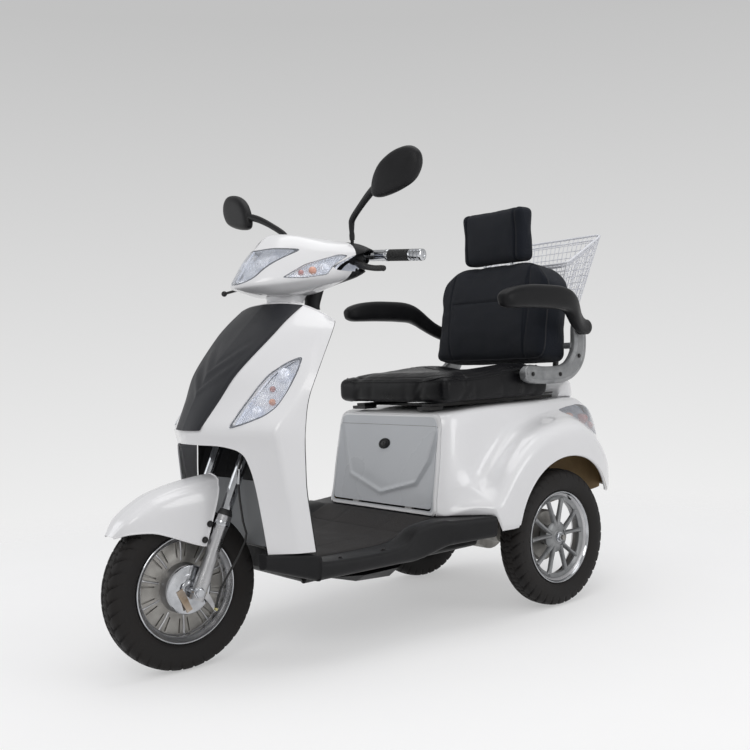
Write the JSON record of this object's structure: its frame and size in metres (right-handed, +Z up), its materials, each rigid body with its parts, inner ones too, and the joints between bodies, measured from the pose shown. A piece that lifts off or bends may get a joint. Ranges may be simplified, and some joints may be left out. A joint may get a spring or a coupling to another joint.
{
  "type": "electric passenger tricycle",
  "caption": "Electric tricycle with one steered front wheel, two driven rear wheels, leg shield, flat floor, armchair seat with headrest and folding armrests, and a rear wire basket",
  "frame": {"origin": "on the ground, under the middle of the whole vehicle's box", "axes": "+Z up; the vehicle faces -Y; the rider's left is +X"},
  "size_m": [0.9024, 1.7604, 1.3003],
  "materials": {
    "white_paint": "gloss white, painted moulding",
    "black_plastic": "black moulded plastic, fine texture",
    "grey_plastic": "grey moulded plastic",
    "black_steel": "satin black painted steel",
    "chrome": "polished chrome plate",
    "alloy": "cast alloy, machined lip",
    "silver_paint": "silver grey paint",
    "tyre_rubber": "black tyre rubber",
    "grip_rubber": "soft black rubber",
    "black_vinyl": "smooth black vinyl over foam",
    "black_fabric": "woven black fabric over foam",
    "clear_lens": "clear moulded lens",
    "white_wire": "white coated wire",
    "cable_rubber": "black cable sheath"
  },
  "bodies": {
    "chassis": {"arch_liner": "black_plastic", "basket": "white_wire", "basket_rack": "black_steel", "battery_pack": "black_plastic", "belly_guard": "black_plastic", "chassis_frame": "black_steel", "drive_motor": "alloy", "footboard": "black_plastic", "frame_rear_cross": "black_steel", "front_shield": "white_paint", "rear_axle": "black_steel", "rear_body": "white_paint", "seat_rails": "black_steel", "shield_centre": "black_plastic", "shield_inner": "black_plastic", "shield_lamp_left": "clear_lens", "shield_lamp_right": "clear_lens", "shock_left": "black_steel", "shock_right": "black_steel", "splash_panel": "grey_plastic", "tail_cap": "white_paint", "tail_lamp_left": "clear_lens", "tail_lamp_right": "clear_lens"},
    "steering": {"fork": "chrome", "fork_slider_left": "alloy", "fork_slider_right": "alloy", "front_axle": "chrome", "front_brake_plate": "chrome", "front_brake_cable": "cable_rubber", "front_fender": "white_paint", "handlebar": "chrome", "grip_left": "grip_rubber", "grip_right": "grip_rubber", "nacelle": "white_paint", "dash_cover": "black_plastic", "headlamp": "clear_lens", "turn_lamp_left": "clear_lens", "turn_lamp_right": "clear_lens", "brake_lever_left": "black_steel", "brake_lever_right": "black_steel", "mirror_left": "black_plastic", "mirror_right": "black_plastic"},
    "front_wheel": {"front_tyre": "tyre_rubber", "front_rim": "alloy"},
    "rear_wheel_left": {"rear_tyre_left": "tyre_rubber", "rear_rim_left": "alloy"},
    "rear_wheel_right": {"rear_tyre_right": "tyre_rubber", "rear_rim_right": "alloy"},
    "seat": {"seat_cushion": "black_vinyl", "seat_pan": "black_steel", "backrest": "black_fabric", "headrest": "black_fabric", "headrest_posts": "chrome", "armrest_bracket_left": "silver_paint", "armrest_bracket_right": "silver_paint"},
    "armrest_arm_left": {"armrest_left": "black_vinyl"},
    "armrest_arm_right": {"armrest_right": "black_vinyl"},
    "hatch": {"seat_box_hatch": "white_paint", "hatch_lock": "black_plastic"}
  },
  "joints": [
    {"name": "steering_turn", "type": "hinge", "parent": "chassis", "child": "steering", "pos_m": [0, -0.32175, 0.95], "axis": [0, 0.4147, 0.91], "range_deg": [-35, 35]},
    {"name": "front_wheel_spin", "type": "hinge", "parent": "steering", "child": "front_wheel", "pos_m": [0, -0.67425, 0.206], "axis": [1, 0, 0], "continuous": true},
    {"name": "rear_wheel_left_spin", "type": "hinge", "parent": "chassis", "child": "rear_wheel_left", "pos_m": [0.3, 0.43075, 0.206], "axis": [1, 0, 0], "continuous": true},
    {"name": "rear_wheel_right_spin", "type": "hinge", "parent": "chassis", "child": "rear_wheel_right", "pos_m": [-0.3, 0.43075, 0.206], "axis": [1, 0, 0], "continuous": true},
    {"name": "seat_slide", "type": "slide", "parent": "chassis", "child": "seat", "axis": [0, -1, 0], "range_m": [0, 0.12]},
    {"name": "armrest_left_fold", "type": "hinge", "parent": "seat", "child": "armrest_arm_left", "pos_m": [0.302, 0.62025, 0.842], "axis": [-1, 0, 0], "range_deg": [0, 90]},
    {"name": "armrest_right_fold", "type": "hinge", "parent": "seat", "child": "armrest_arm_right", "pos_m": [-0.302, 0.62025, 0.842], "axis": [-1, 0, 0], "range_deg": [0, 90]},
    {"name": "hatch_open", "type": "hinge", "parent": "chassis", "child": "hatch", "pos_m": [0, -0.0004, 0.335], "axis": [1, 0, 0], "range_deg": [0, 75]}
  ]
}
